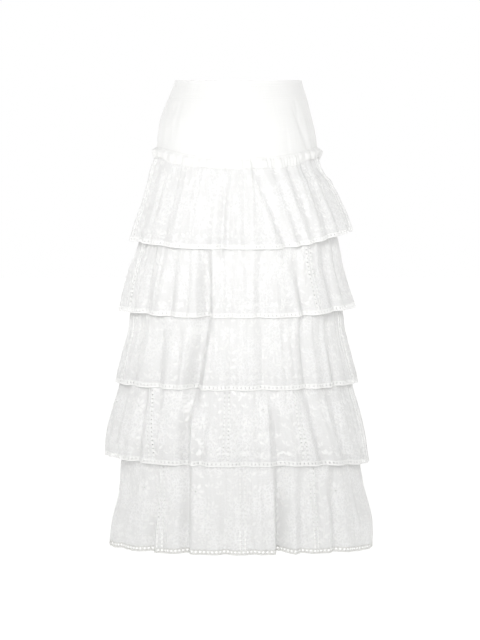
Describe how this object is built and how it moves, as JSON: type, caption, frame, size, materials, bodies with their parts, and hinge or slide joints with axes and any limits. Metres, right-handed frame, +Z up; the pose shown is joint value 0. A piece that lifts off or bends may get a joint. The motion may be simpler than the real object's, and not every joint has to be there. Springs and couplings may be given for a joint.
{
  "type": "tiered maxi skirt",
  "caption": "White cotton maxi skirt, filled out as worn: plain waistband and hip yoke, narrow frill, overlapping embroidered gathered tiers with openwork hems, back zip.",
  "frame": {"origin": "centre of the waist's top edge, where the wearer holds the skirt up", "axes": "+Z up along the wearer, -Y the front, +X the wearer's left"},
  "size_m": [0.5336, 0.4388, 0.932],
  "materials": {
    "plain_cotton": "plain woven cotton, matt",
    "frill_cotton": "gathered cotton, matt",
    "embroidered_cotton": "sheer cotton voile with white embroidery and openwork",
    "zip_tape": "woven polyester tape",
    "zip_metal": "white lacquer"
  },
  "bodies": {
    "skirt": {"waistband_front": "plain_cotton", "waistband_back_left": "plain_cotton", "waistband_back_right": "plain_cotton", "yoke_front": "plain_cotton", "yoke_back_left": "plain_cotton", "yoke_back_right": "plain_cotton", "frill_front": "frill_cotton", "frill_back": "frill_cotton", "tier_1_front": "embroidered_cotton", "tier_1_back": "embroidered_cotton", "tier_2_front": "embroidered_cotton", "tier_2_back": "embroidered_cotton", "tier_3_front": "embroidered_cotton", "tier_3_back": "embroidered_cotton", "tier_4_front": "embroidered_cotton", "tier_4_back": "embroidered_cotton", "tier_5_front": "embroidered_cotton", "tier_5_back": "embroidered_cotton", "zip_tape_left": "zip_tape", "zip_tape_right": "zip_tape", "zip_slider": "zip_metal"},
    "zip_pull": {"zip_pull": "zip_metal"}
  },
  "joints": [
    {"name": "zip_pull_hinge", "type": "hinge", "parent": "skirt", "child": "zip_pull", "pos_m": [0, 0.10023, -0.00636], "axis": [1, 0, 0], "range_deg": [0, 150]}
  ]
}
